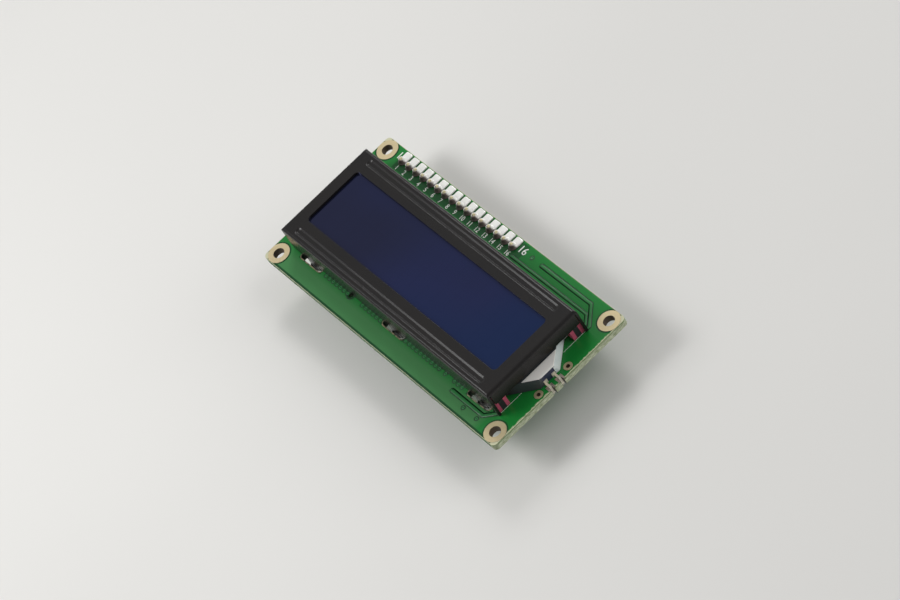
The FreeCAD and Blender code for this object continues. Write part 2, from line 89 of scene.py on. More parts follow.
# %% [markdown]
# ## The camera
# The photograph looks down on the module from beyond its lamp end, with a long lens and the picture
# turned. A lens of 168 mm at 0.83 m keeps the far end almost as large as the near one, which a wide
# lens close by would not. The roll is what turns the long side across the picture.

# %% Set up the camera
CAMERA_PLACE = Vector((558.8, -119.1, 607.4)) * MM
CAMERA_TARGET = Vector((4.64, -0.86, 0.0)) * MM
CAMERA_ROLL = math.radians(35.07)
CAMERA_LENS = 167.7

camera_data = bpy.data.cameras.new("camera")
camera_data.lens = CAMERA_LENS
camera = bpy.data.objects.new("camera", camera_data)
bpy.context.scene.collection.objects.link(camera)
aim = (CAMERA_TARGET - CAMERA_PLACE).to_track_quat("-Z", "Y").to_matrix().to_4x4()
camera.matrix_world = Matrix.Translation(CAMERA_PLACE) @ aim @ Matrix.Rotation(-CAMERA_ROLL, 4, "Z")
bpy.context.scene.camera = camera
print(f"camera {(CAMERA_TARGET - CAMERA_PLACE).length:.3f} m from the module")

# %% [markdown]
# ## Helpers for every finish
# Colours are written as the sRGB hex values that a person would pick, and turned to linear light here.
# A shader is built by adding nodes, so one small function adds a node with its settings and links. An
# input may be a number, a colour, or the node that feeds it, which keeps each finish a short read.
# Two more serve many finishes: a slow change between two shades, and how far a face looks up.


# %% Colour and node helpers
def linear(hex_colour):
    """An sRGB hex colour as linear light."""
    parts = [int(hex_colour[i:i + 2], 16) / 255 for i in (0, 2, 4)]
    return (*[c / 12.92 if c <= 0.04045 else ((c + 0.055) / 1.055) ** 2.4 for c in parts], 1)


def feed(node, inputs):
    """Sets inputs of a node. Each is a value, a hex colour, or the node or socket that feeds it."""
    for name, value in inputs.items():
        if isinstance(value, bpy.types.Node):
            value = next(socket for socket in value.outputs if socket.enabled)
        if isinstance(value, bpy.types.NodeSocket):
            node.id_data.links.new(value, node.inputs[name])
        else:
            node.inputs[name].default_value = linear(value) if isinstance(value, str) else value


def add_node(tree, kind, inputs=None, **settings):
    """Adds a shader node with its settings and its inputs."""
    node = tree.nodes.new("ShaderNode" + kind)
    for name, value in settings.items():
        setattr(node, name, value)
    feed(node, inputs or {})
    return node


def start_finish(name, **shader_inputs):
    """A new material: itself, its tree, its shader and the object's own coordinates."""
    material = bpy.data.materials.new(name)
    material.use_nodes = True
    tree = material.node_tree
    shader = tree.nodes["Principled BSDF"]
    feed(shader, {key.replace("_", " "): value for key, value in shader_inputs.items()})
    print("finish:", name)
    return material, tree, shader, add_node(tree, "TexCoord").outputs["Object"]


def per_metre(size_mm):
    """The texture scale that gives features of a size in millimetres."""
    return 1 / (size_mm * MM)


def clouded(tree, place, size_mm, dark, light, detail=2.0):
    """Noise with features of a real size, and the colour that it gives between two shades."""
    noise = add_node(tree, "TexNoise", {"Vector": place, "Scale": per_metre(size_mm), "Detail": detail})
    return noise, add_node(tree, "Mix", {"Factor": noise, "A": dark, "B": light}, data_type="RGBA")


def looks_up(tree):
    """One where a face looks straight up, nothing on a wall, and minus one where it looks down."""
    normal = add_node(tree, "NewGeometry").outputs["Normal"]
    return add_node(tree, "SeparateXYZ", {"Vector": normal}).outputs["Z"]


# %% [markdown]
# ## Soft studio light
# Shiny parts show what stands around them, so the surround is laid out as for a photograph of metal.
# Two softboxes stand beyond the far end, one on each side of the mirror direction of the board. Level
# faces miss them both and stay calm, while every bend and bead catches a thin line of light. A third
# opens up the lamp's end, which the display would leave in its own shadow. A grey surround fills the
# rest, and a black card round the camera gives the near sides of the solder something dark to mirror.
# The card's soft edge lies between two cosines of the angle from the camera. The levels are shares of
# full white, and together they come to about one.

# %% Light the module
scene = bpy.context.scene
scene.view_settings.view_transform = "Standard"
SURROUND_LEVEL = 0.4
CARD_LEVEL = 0.08
CARD_EDGE = (0.8, 0.95)


def softbox(name, azimuth, elevation, distance, size, level):
    """A square lamp aimed at the module, at a level that a white face turned to it would show."""
    place = Matrix.Rotation(math.radians(azimuth), 3, "Z") @ (
        Matrix.Rotation(-math.radians(elevation), 3, "Y") @ Vector((distance, 0, 0)))
    light = bpy.data.lights.new(name, "AREA")
    light.size = size
    light.energy = level * math.pi ** 2 * distance ** 2
    lamp = bpy.data.objects.new(name, light)
    scene.collection.objects.link(lamp)
    aim = (-place).to_track_quat("-Z", "Y").to_matrix().to_4x4()
    lamp.matrix_world = Matrix.Translation(place) @ aim
    print(f"{name}: {light.energy:.2f} W at {distance:.2f} m")


softbox("header_side_softbox", azimuth=136, elevation=42, distance=1.2, size=0.36, level=0.26)
softbox("near_side_softbox", azimuth=232, elevation=48, distance=0.4, size=0.16, level=0.5)
softbox("lamp_end_softbox", azimuth=50, elevation=35, distance=1.0, size=0.7, level=0.38)

surround = bpy.data.worlds.new("grey_surround")
surround.use_nodes = True
way = add_node(surround.node_tree, "TexCoord").outputs["Generated"]
to_camera = (CAMERA_PLACE - CAMERA_TARGET).normalized()
towards = add_node(surround.node_tree, "VectorMath", {0: way, 1: to_camera}, operation="DOT_PRODUCT")
grey = add_node(surround.node_tree, "MapRange", {
    "Value": towards, "From Min": CARD_EDGE[0], "From Max": CARD_EDGE[1],
    "To Min": SURROUND_LEVEL, "To Max": CARD_LEVEL})
feed(surround.node_tree.nodes["Background"], {"Color": grey})
scene.world = surround


# %% [markdown]
# ## Stage: a plain pale floor
# The floor lies at the tips of the pins, the lowest thing on the module. A grid is enough, because a
# soft shadow is all that it has to show.


# %% Lay the floor
FLOOR_REACH_M = 3.0


def pale_floor_paint():
    """Matt pale paint: a faint cloudiness keeps the shadow from looking printed."""
    material, tree, shader, place = start_finish("matt_pale_floor_paint", Roughness=0.85)
    _, paint = clouded(tree, place, 120, "d6d5d2", "dddcd9")
    feed(shader, {"Base Color": paint})
    return material


floor_bm = bmesh.new()
bmesh.ops.create_grid(floor_bm, x_segments=2, y_segments=2, size=FLOOR_REACH_M)
bmesh.ops.translate(floor_bm, vec=(0, 0, LOWEST * MM), verts=floor_bm.verts)
floor_mesh = bpy.data.meshes.new("floor")
floor_bm.to_mesh(floor_mesh)
floor_bm.free()
floor_mesh.materials.append(pale_floor_paint())
floor = bpy.data.objects.new("floor", floor_mesh)
scene.collection.objects.link(floor)
print(f"floor at {LOWEST:.2f} mm")


# %% [markdown]
# ## Gloss green solder mask on glass laminate
# The board is woven glass in epoxy, with copper on both faces and a glossy green lacquer over it.
# The lacquer looks lighter where copper lies under it and deeper in the gaps of the copper: along the
# near edge, round the rings and slots, and between the header's pads. A rim of bare laminate shows
# where the lacquer stops, and the cut edge shows the cream laminate. These fields are worked out from
# distances in the material, because they are colour and not form. Along the near side a painted sheen
# makes that strip a paler green.

# %% Solder mask colours and sizes
MASK_ON_COPPER = "1a7a31"
MASK_ON_LAMINATE = "0b4420"
# Painted sheen: the near strip is mixed towards this paler green in place of a reflection.
MASK_PAINTED_SHEEN = "5f8f62"
PAINTED_SHEEN_SHARE = 0.45
PAINTED_SHEEN_FIELD = (-BEYOND, 34, -BEYOND, NEAR_WALL_Y)
LAMINATE_CREAM = "c3c3a4"
EDGE_CLOTH = "cdd2b8"
EDGE_RESIN = "78845f"
# Painted shade: the long edges are darkened towards this colour.
EDGE_UNDER_FRONT = "5a7543"
EDGE_PAINTED_SHADE = "536f50"
EDGE_STREAK = 0.3
NEAR_MARGIN = 0.5
HEADER_FIELD = (-33.4, 9.6, 13.0, 17.7)
RING_GAP = 0.45
SLOT_PITCH = 29.0
SLOT_HALF_LENGTH = 3.9
SLOT_HALF_WIDTH = 0.95
LACQUER_STOP = 0.06
LAMP_END_RIM = 0.22
LAMP_END_FRAY = 0.4
CORNER_REACH = 1.0
YARN_WIDTH = 0.45
LACQUER_RELIEF = 0.0025
BANDS_PER_UNIT = 6.28
print("bare rim at the lamp's end:", LAMP_END_RIM, "mm")


def inside_box(tree, place, box, soft):
    """One inside a box (x0, x1, y0, y1 in millimetres), fading to nothing over a soft margin."""
    x0, x1, y0, y1 = (v * MM for v in box)
    middle = ((x0 + x1) / 2, (y0 + y1) / 2, 0)
    half = ((x1 - x0) / 2, (y1 - y0) / 2, 0)
    from_middle = add_node(tree, "VectorMath", {0: place, 1: middle}, operation="SUBTRACT")
    distance = add_node(tree, "VectorMath", {0: from_middle}, operation="ABSOLUTE")
    over = add_node(tree, "VectorMath", {0: distance, 1: half}, operation="SUBTRACT")
    sides = add_node(tree, "SeparateXYZ", {"Vector": over})
    furthest = add_node(tree, "Math", {0: sides.outputs["X"], 1: sides.outputs["Y"]},
                        operation="MAXIMUM")
    return add_node(tree, "Math", {0: furthest, 1: -1 / (soft * MM)}, operation="MULTIPLY",
                    use_clamp=True)


# %% [markdown]
# The four rings are alike, so one distance is enough for them: the place is folded into one quarter of
# the board with its absolute value, and measured from the one hole there. The slots repeat along the
# board, so a ping-pong sum folds them onto one another in the same way.


# %% Where copper lies under the lacquer
def from_ring_middle(tree, place):
    """The place as seen from the nearest mounting hole, with X and Y growing towards the corner."""
    quarter = add_node(tree, "VectorMath", {0: place}, operation="ABSOLUTE")
    hole = (HOLE_X * MM, HOLE_Y * MM, 0)
    from_hole = add_node(tree, "VectorMath", {0: quarter, 1: hole}, operation="SUBTRACT")
    return add_node(tree, "VectorMath", {0: from_hole, 1: (1, 1, 0)}, operation="MULTIPLY")


def clear_of_slots(tree, place):
    """Nothing round a tab slot, and one elsewhere."""
    split = add_node(tree, "SeparateXYZ", {"Vector": place})
    along = add_node(tree, "Math", {0: split.outputs["X"], 1: SLOT_PITCH / 2 * MM}, operation="PINGPONG")
    across = add_node(tree, "Math", {0: split.outputs["Y"], 1: DISPLAY_Y * MM}, operation="SUBTRACT")
    outwards = add_node(tree, "Math", {0: across}, operation="ABSOLUTE")
    folded = add_node(tree, "CombineXYZ", {"X": along, "Y": outwards})
    box = (-SLOT_HALF_LENGTH, SLOT_HALF_LENGTH,
           WALL_FROM_DISPLAY - SLOT_HALF_WIDTH, WALL_FROM_DISPLAY + SLOT_HALF_WIDTH)
    in_slot = inside_box(tree, folded, box, soft=0.2)
    return add_node(tree, "Math", {0: 1.0, 1: in_slot}, operation="SUBTRACT")


def copper_share(tree, place):
    """How much of the light comes back from copper under the lacquer."""
    pour_box = (-BEYOND, BEYOND, -HALF_DEPTH + NEAR_MARGIN, BEYOND)
    pour = inside_box(tree, place, pour_box, soft=0.12)
    radius = add_node(tree, "VectorMath", {0: from_ring_middle(tree, place)}, operation="LENGTH")
    gap_edge = RING_RADIUS + RING_GAP
    round_rings = add_node(tree, "MapRange", {"Value": radius, "From Min": (gap_edge - 0.2) * MM,
                                              "From Max": gap_edge * MM})
    header = inside_box(tree, place, HEADER_FIELD, soft=0.3)
    between_pads = add_node(tree, "MapRange", {"Value": header, "To Min": 1.0, "To Max": 0.25})
    drift = add_node(tree, "TexNoise", {"Vector": place, "Scale": per_metre(9), "Detail": 3.0})
    share = add_node(tree, "MapRange", {"Value": drift, "To Min": 0.8})
    for factor in (pour, round_rings, between_pads, clear_of_slots(tree, place)):
        share = add_node(tree, "Math", {0: share, 1: factor}, operation="MULTIPLY")
    return share


# %% [markdown]
# The lacquer stops a little inside the routed edge. At the lamp's end it is cut further back and
# frays, and the corners outside the rings are bare. The cut edge itself is pressed layers of
# cloth, so its noise is stretched along the board. It is greener under the front, where lacquer has
# run over the corner, and darker and greener along the two long edges, a painted shade.


# %% Where the laminate shows
def lacquer_cover(tree, place):
    """One under lacquer, and nothing where bare laminate shows on a face."""
    stop_y = HALF_DEPTH - LACQUER_STOP
    stop = (-HALF_LENGTH + LACQUER_STOP, HALF_LENGTH, -stop_y, stop_y)
    cover = inside_box(tree, place, stop, soft=0.05)
    fray = add_node(tree, "TexNoise", {"Vector": place, "Scale": per_metre(0.7), "Detail": 3.0})
    frayed = add_node(tree, "MapRange", {"Value": fray, "To Min": -LAMP_END_FRAY * MM,
                                         "To Max": LAMP_END_FRAY * MM})
    split = add_node(tree, "SeparateXYZ", {"Vector": place})
    reach = add_node(tree, "Math", {0: split.outputs["X"], 1: frayed}, operation="ADD")
    rim = HALF_LENGTH - LAMP_END_RIM
    lamp_end = add_node(tree, "MapRange", {"Value": reach, "From Min": (rim - 0.15) * MM,
                                           "From Max": (rim + 0.15) * MM, "To Min": 1.0, "To Max": 0.0})
    corner = add_node(tree, "SeparateXYZ", {"Vector": from_ring_middle(tree, place)})
    outside = add_node(tree, "Math", {0: corner.outputs["X"], 1: corner.outputs["Y"]},
                       operation="MINIMUM")
    corners = add_node(tree, "MapRange", {
        "Value": outside, "From Min": CORNER_REACH * MM, "From Max": (CORNER_REACH + 0.3) * MM,
        "To Min": 1.0, "To Max": 0.0})
    for factor in (lamp_end, corners):
        cover = add_node(tree, "Math", {0: cover, 1: factor}, operation="MULTIPLY")
    return cover


def cut_edge_colour(tree, place):
    """The routed edge: streaks of cloth and epoxy, greener under the front, and darker along the long
    edges as painted shade.
    """
    stretched = add_node(tree, "VectorMath", {0: place, 1: (0.3, 0.3, 1.0)}, operation="MULTIPLY")
    streaks = add_node(tree, "TexNoise", {"Vector": stretched, "Scale": per_metre(EDGE_STREAK),
                                          "Detail": 4.0})
    picked = add_node(tree, "MapRange", {"Value": streaks, "From Min": 0.3, "From Max": 0.7})
    cloth = add_node(tree, "Mix", {"Factor": picked, "A": EDGE_RESIN, "B": EDGE_CLOTH}, data_type="RGBA")
    depth = add_node(tree, "SeparateXYZ", {"Vector": place}).outputs["Z"]
    near_face = add_node(tree, "MapRange", {"Value": depth, "From Min": (FRONT - 0.55) * MM,
                                            "From Max": (FRONT - 0.05) * MM, "To Max": 0.9})
    pressed = add_node(tree, "Mix", {"Factor": near_face, "A": cloth, "B": EDGE_UNDER_FRONT},
                       data_type="RGBA")
    between_ends = (-HALF_LENGTH + 1, HALF_LENGTH - 1, -BEYOND, BEYOND)
    long_edge = inside_box(tree, place, between_ends, soft=0.5)
    # Painted shade along the two long edges.
    long_edge_shade = add_node(tree, "Math", {0: long_edge, 1: 0.9}, operation="MULTIPLY")
    return add_node(tree, "Mix", {"Factor": long_edge_shade, "A": pressed, "B": EDGE_PAINTED_SHADE}, data_type="RGBA")


# %% [markdown]
# Two colours are mixed by these shares, and the same shares make the lacquer glossy and the bare
# laminate dull. Its surface is a bump and not form, because it is only microns high: a step where
# copper ends, a faint weave of the cloth below, and the orange peel of a liquid that levelled out. A
# wave texture has about 6.3 light and dark bands to a unit, so its scale follows from a yarn's width.


# %% Build the solder mask
def lacquer_surface(tree, place, copper):
    """The lacquer's own surface: a step at each copper edge, a faint weave and a long orange peel."""
    yarns = {"Vector": place, "Scale": per_metre(YARN_WIDTH) / BANDS_PER_UNIT}
    warp = add_node(tree, "TexWave", yarns, bands_direction="X")
    weft = add_node(tree, "TexWave", yarns, bands_direction="Y")
    height = add_node(tree, "Math", {0: warp.outputs["Fac"], 1: weft.outputs["Fac"]},
                      operation="MULTIPLY")
    peel = add_node(tree, "TexNoise", {"Vector": place, "Scale": per_metre(0.9)})
    for layer, share in ((peel, 2.0), (copper, 6.0)):
        height = add_node(tree, "Math", {0: layer, 1: share, 2: height}, operation="MULTIPLY_ADD")
    return add_node(tree, "Bump", {"Height": height, "Distance": LACQUER_RELIEF * MM})


def gloss_green_solder_mask():
    """Green epoxy lacquer, screened on and cured: glossy, with the cloth's weave faintly in it."""
    material, tree, shader, place = start_finish(
        "gloss_green_solder_mask", IOR=1.5, Specular_IOR_Level=0.35)
    level = add_node(tree, "Math", {0: looks_up(tree)}, operation="ABSOLUTE")
    on_face = add_node(tree, "Math", {0: level, 1: 0.5}, operation="GREATER_THAN")
    cover = lacquer_cover(tree, place)
    copper = copper_share(tree, place)
    # Painted sheen: along the near side the lacquer's colour is mixed towards a paler green.
    strip = inside_box(tree, place, PAINTED_SHEEN_FIELD, soft=2.0)
    haze = add_node(tree, "Math", {0: strip, 1: PAINTED_SHEEN_SHARE}, operation="MULTIPLY")
    thin = add_node(tree, "Mix", {"Factor": haze, "A": MASK_ON_COPPER, "B": MASK_PAINTED_SHEEN}, data_type="RGBA")
    lacquer = add_node(tree, "Mix", {"Factor": copper, "A": MASK_ON_LAMINATE, "B": thin},
                       data_type="RGBA")
    face = add_node(tree, "Mix", {"Factor": cover, "A": LAMINATE_CREAM, "B": lacquer}, data_type="RGBA")
    colour = add_node(tree, "Mix", {"Factor": on_face, "A": cut_edge_colour(tree, place), "B": face},
                      data_type="RGBA")
    glossy = add_node(tree, "Math", {0: on_face, 1: cover}, operation="MULTIPLY")
    rough = add_node(tree, "MapRange", {"Value": glossy, "To Min": 0.7, "To Max": 0.26})
    bump = lacquer_surface(tree, place, copper)
    feed(shader, {"Base Color": colour, "Roughness": rough, "Normal": bump})
    return material


# %% [markdown]
# ## Plated metal
# Bare copper is plated before the parts go on. The rings are pale immersion gold, the pads and the
# lamp's notches tin. Both are thin coats on matt copper, so they are metals with a middling roughness
# and a fine grain. The bores of the holes and notches are painted dark, as painted shade, and each
# solder joint is darker towards the display and the lamp's end, partly flux and partly a painted dark
# reflection. So each such mark is a share, from nothing to one, which a finish lays over its metal.


# %% Stains and painted shade on metal
# Flux and painted dark reflection: each joint darkens on its side towards the display and the lamp's
# end.
FLUX_AND_SHADE_SLANT = -0.7
FLUX_AND_SHADE_WANDER = 0.3
FLUX_AND_SHADE_FROM_PIN = (-0.55, -0.05)


def in_the_bore(tree, place):
    """One on upright walls, such as the bore of a hole, where painted shade is laid, and nothing on
    level faces.
    """
    level = add_node(tree, "Math", {0: looks_up(tree)}, operation="ABSOLUTE")
    return add_node(tree, "Math", {0: level, 1: 0.5}, operation="LESS_THAN")


def flux_round_pins(tree, place):
    """Flux and a painted dark reflection on each joint, on its side towards the display and the lamp's
    end.
    """
    split = add_node(tree, "SeparateXYZ", {"Vector": place})
    half_pitch = PIN_PITCH / 2 * MM
    from_first = add_node(tree, "Math", {0: split.outputs["X"], 1: PIN_XS[0] * MM}, operation="SUBTRACT")
    from_pin = add_node(tree, "Math", {0: from_first, 1: half_pitch, 2: -half_pitch}, operation="WRAP")
    slanted = add_node(tree, "Math", {0: from_pin, 1: FLUX_AND_SHADE_SLANT, 2: split.outputs["Y"]},
                       operation="MULTIPLY_ADD")
    flow = add_node(tree, "TexNoise", {"Vector": place, "Scale": per_metre(0.8), "Detail": 2.0})
    wander = add_node(tree, "MapRange", {"Value": flow, "To Min": -FLUX_AND_SHADE_WANDER * MM,
                                         "To Max": FLUX_AND_SHADE_WANDER * MM})
    edge = add_node(tree, "Math", {0: slanted, 1: wander}, operation="ADD")
    full, clean = ((HEADER_Y + y) * MM for y in FLUX_AND_SHADE_FROM_PIN)
    return add_node(tree, "MapRange", {"Value": edge, "From Min": full, "From Max": clean,
                                       "To Min": 0.9, "To Max": 0.0})


def worn_patches(tree, place):
    """A dark green over most of a tab slot's rim, with a few bright patches, and painted shade in its
    bore.
    """
    wear = add_node(tree, "TexNoise", {"Vector": place, "Scale": per_metre(1.2), "Detail": 2.0})
    patches = add_node(tree, "MapRange", {"Value": wear, "From Min": 0.42, "From Max": 0.6,
                                          "To Min": 0.15, "To Max": 0.95})
    return add_node(tree, "Math", {0: patches, 1: in_the_bore(tree, place)}, operation="MAXIMUM")


# %% [markdown]
# The plated metals differ only in their two shades, their roughness and their grain, so one function
# makes them all. Solder and the pins are a little less than full metal: their skin of oxide and flux
# is pale, and a full metal would turn black wherever it mirrors the dark card.


# %% Plated metals and solder
def plated_metal(name, light, dark, roughness, grain, stain_and_shade=None, stain_and_shade_colour="4a3a22", metallic=1.0):
    """A plated metal: two close shades, a grain of a real size and depth, and a share of stain and
    painted shade.
    """
    material, tree, shader, place = start_finish(name)
    grain_size, grain_depth = grain
    speckle, colour = clouded(tree, place, grain_size, dark, light, detail=4.0)
    rough = add_node(tree, "MapRange", {"Value": speckle, "To Min": roughness * 0.75,
                                        "To Max": roughness * 1.25})
    bump = add_node(tree, "Bump", {"Height": speckle, "Distance": grain_depth * MM})
    feed(shader, {"Base Color": colour, "Roughness": rough, "Metallic": metallic, "Normal": bump})
    if stain_and_shade:
        share = stain_and_shade(tree, place)
        stained_and_shaded = add_node(tree, "Mix", {"Factor": share, "A": colour, "B": stain_and_shade_colour},
                           data_type="RGBA")
        bare = add_node(tree, "MapRange", {"Value": share, "To Min": metallic, "To Max": 0.15})
        feed(shader, {"Base Color": stained_and_shaded, "Metallic": bare})
    return material


def immersion_gold():
    """Immersion gold over nickel: pale, warm and matt, and painted brown inside the holes as painted
    shade.
    """
    # The bores are painted brown: painted shade.
    return plated_metal("immersion_gold", "d4c6a2", "c7b791", 0.5, (0.35, 0.004), in_the_bore,
                        metallic=0.9)


def worn_slot_plating():
    """The tab slots' rims: the same gold, mostly darkened to a deep green, with painted shade in the
    bores.
    """
    return plated_metal("worn_slot_plating", "b9ae8f", "9a9175", 0.5, (0.35, 0.004), worn_patches,
                        "17301c")


def tinned_copper_pad():
    """Hot levelled tin on a pad: warm grey-white, uneven in thickness, painted dark inside the notches
    as painted shade.
    """
    # The notches are painted dark: painted shade.
    return plated_metal("tinned_copper_pad", "c9bfb0", "a89c8e", 0.42, (0.6, 0.006), in_the_bore,
                        "2e2620")


def flowed_solder():
    """Flowed tin solder: pale and rounded, with soft ripples, and flux with a painted dark reflection
    round the pins.
    """
    return plated_metal("flowed_solder", "fbfbf8", "efeee9", 0.34, (0.9, 0.004), flux_round_pins,
                        "4a342c", metallic=0.45)


def gold_flashed_brass():
    """Drawn brass wire with a flash of gold."""
    return plated_metal("gold_flashed_brass", "efe6bf", "ddd2a6", 0.36, (0.25, 0.002), metallic=0.8)


def tinned_lead_frame():
    """The lamp's stamped leads, tinned, with a cream cast."""
    return plated_metal("tinned_lead_frame", "efe9d8", "d9d2bf", 0.42, (0.3, 0.003), metallic=0.6)


# %% [markdown]
# ## Satin black enamel on pressed steel
# The bezel is one pressed steel sheet with a baked black enamel. The enamel levels out into a fine
# orange peel, is a touch browner where it is thin, and rounds every cut edge. The Bevel node gives
# those small rounds to the shading, so that each fold and bead edge catches a thin line of light.


# %% Bezel enamel
def satin_black_enamel():
    """Baked satin black enamel: deep black, with soft reflections over a fine orange peel."""
    material, tree, shader, place = start_finish("satin_black_enamel", IOR=1.5, Specular_IOR_Level=0.3)
    patches, colour = clouded(tree, place, 14, "19191b", "1f1c1a", detail=3.0)
    rough = add_node(tree, "MapRange", {"Value": patches, "To Min": 0.22, "To Max": 0.29})
    rounded = add_node(tree, "Bevel", {"Radius": 0.1 * MM}, samples=6)
    peel = add_node(tree, "TexNoise", {"Vector": place, "Scale": per_metre(0.3), "Detail": 2.0})
    bump = add_node(tree, "Bump", {"Height": peel, "Distance": 0.003 * MM, "Normal": rounded})
    feed(shader, {"Base Color": colour, "Roughness": rough, "Normal": bump})
    return material


# %% [markdown]
# ## Blue polarizing film
# With no power the window is a glossy, nearly black navy. Its blue drifts from a grey navy to a purple
# and a deep blue over some centimetres, a painted reflection. The sixteen by two blocks of dots can
# only just be made out: a block is 2.95 x 5.55 mm, and its dots are barely lighter than the ground.

# %% The blocks of dots
CHARACTER_PITCH = (3.55, 5.95)
CHARACTER_SIZE = (2.95, 5.55)
CHARACTER_COUNT = (16, 2)
DOT_COUNT = (5, 8)
DOT_GAP = 0.05
DOT_CONTRAST = 0.004
print("dots in the window:", math.prod(CHARACTER_COUNT + DOT_COUNT))


def on_dots(tree, position, axis, centre):
    """One on the dots along one axis of the window, and nothing between dots and characters."""
    pitch = CHARACTER_PITCH[axis] * MM
    size = CHARACTER_SIZE[axis] * MM
    dot = (CHARACTER_SIZE[axis] + DOT_GAP) / DOT_COUNT[axis] * MM
    span = pitch * (CHARACTER_COUNT[axis] - 1) + size
    along = add_node(tree, "Math", {0: position, 1: span / 2 - centre * MM}, operation="ADD")
    in_character = add_node(tree, "Math", {0: along, 1: pitch}, operation="FLOORED_MODULO")
    in_dot = add_node(tree, "Math", {0: in_character, 1: dot}, operation="FLOORED_MODULO")
    from_middle = add_node(tree, "Math", {0: along, 1: span / 2}, operation="SUBTRACT")
    distance = add_node(tree, "Math", {0: from_middle}, operation="ABSOLUTE")
    on = 1.0
    for value, limit in ((in_character, size), (in_dot, dot - DOT_GAP * MM), (distance, span / 2)):
        below = add_node(tree, "Math", {0: value, 1: limit}, operation="LESS_THAN")
        on = add_node(tree, "Math", {0: on, 1: below}, operation="MULTIPLY")
    return on


# %% [markdown]
# The film's gloss coat is smooth, and its reflection is tinted blue, because the dyed film below
# takes the rest of the light. The hue is a painted reflection: it follows a slow noise, tipped so that
# it also drifts along the window. Under the film lies float glass, of which at most the cut ends show.


# %% Film and glass
FILM_HUES = ((0.2, "121423"), (0.5, "141a37"), (0.85, "071b39"))
PAINTED_REFLECTION_DRIFT = 0.3
FILM_HALF_LENGTH = 34


def blue_polarizing_film():
    """Iodine-dyed film with a hard gloss coat: nearly black, with a blue reflection."""
    material, tree, shader, place = start_finish(
        "blue_polarizing_film", Roughness=0.07, IOR=1.6, Specular_IOR_Level=0.62,
        Specular_Tint="9faaff")
    split = add_node(tree, "SeparateXYZ", {"Vector": place})
    cloud = add_node(tree, "TexNoise", {"Vector": place, "Scale": per_metre(26), "Detail": 1.0})
    # Painted reflection: the hue grows bluer along the window.
    reflection_slope = add_node(tree, "MapRange", {
        "Value": split.outputs["X"], "From Min": -FILM_HALF_LENGTH * MM,
        "From Max": FILM_HALF_LENGTH * MM, "To Min": -PAINTED_REFLECTION_DRIFT, "To Max": PAINTED_REFLECTION_DRIFT})
    share = add_node(tree, "Math", {0: cloud, 1: reflection_slope}, operation="ADD", use_clamp=True)
    hue = add_node(tree, "ValToRGB", {"Fac": share})
    shades = hue.color_ramp.elements
    shades.new(0.5)
    for shade, (position, colour) in zip(shades, FILM_HUES):
        shade.position = position
        shade.color = linear(colour)
    columns = on_dots(tree, split.outputs["X"], 0, 0.0)
    lines = on_dots(tree, split.outputs["Y"], 1, DISPLAY_Y)
    dots = add_node(tree, "Math", {0: columns, 1: lines}, operation="MULTIPLY")
    faint = add_node(tree, "Math", {0: dots, 1: DOT_CONTRAST}, operation="MULTIPLY")
    blue = add_node(tree, "Mix", {"Factor": faint, "A": hue, "B": "5660a0"}, data_type="RGBA")
    feed(shader, {"Base Color": blue})
    return material


def float_glass():
    """Thin float glass with its cut edge: a dim green-blue."""
    material, tree, shader, place = start_finish("float_glass", Roughness=0.08, IOR=1.52,
                                                 Transmission_Weight=0.3)
    _, tint = clouded(tree, place, 4, "22383f", "2e4c54")
    feed(shader, {"Base Color": tint})
    return material


# %% [markdown]
# ## Moulded and cast parts
# The rest are plastics, rubbers and ceramics. What tells them apart at this size is their sheen and
# the scale of their texture, so one function takes two close shades, a roughness and the real size
# and depth of the texture, and a table says which slot gets which.


# %% Plastics, rubbers and films
def moulded(name, light, dark, roughness, grain, ior=1.5):
    """A moulded or cast material: two close shades and a surface grain of a real size and depth."""
    material, tree, shader, place = start_finish(name, Roughness=roughness, IOR=ior)
    grain_size, grain_depth = grain
    speckle, colour = clouded(tree, place, grain_size, dark, light, detail=3.0)
    bump = add_node(tree, "Bump", {"Height": speckle, "Distance": grain_depth * MM})
    feed(shader, {"Base Color": colour, "Normal": bump})
    return material


MOULDED = {
    # The header's strip: glass-filled nylon, matt black with a fine mineral grain.
    "header_plastic": moulded("glass_filled_black_nylon", "1c1d1f", "141416", 0.55, (0.15, 0.006)),
    # The connector's skin: foamed pink silicone, dull, with fine open cells.
    "zebra_foam": moulded("pink_silicone_sponge", "c95f78", "a8435c", 0.75, (0.14, 0.02), ior=1.41),
    # The backlight's white film: matt polyester that scatters light evenly.
    "white_film": moulded("matt_white_polyester_film", "f7f5f0", "efece6", 0.5, (0.5, 0.002)),
    # Dark slate tape on the nose; at its root beside the display it is a dark sheet that stands in for
    # shade. Smooth, with a slate cast.
    "dark_tape": moulded("dark_tape_and_painted_shade", "3d4447", "333a3d", 0.38, (0.8, 0.003)),
    # The lamp's body: dark blue-black moulding.
    "lamp_body": moulded("dark_lamp_moulding", "2f3450", "262b42", 0.4, (0.3, 0.003)),
    # The lamp's yellow phosphor in clear silicone.
    "phosphor": moulded("yellow_phosphor_silicone", "e5d66a", "d8c552", 0.3, (0.1, 0.003), ior=1.41),
    # The cell's seal: cream epoxy.
    "seal_epoxy": moulded("cream_seal_epoxy", "d9d2b8", "c9c1a4", 0.5, (0.4, 0.003)),
    # The chips' cover: a drop of black epoxy that set as it ran, glossy and slightly wavy.
    "resin": moulded("cast_black_epoxy", "131314", "0e0e0f", 0.22, (2.5, 0.03), ior=1.55),
    # Sintered ceramic: warm grey-brown with fine specks.
    "capacitor_body": moulded("sintered_capacitor_ceramic", "a5835d", "8d6d4b", 0.45, (0.12, 0.003),
                              ior=1.6),
}


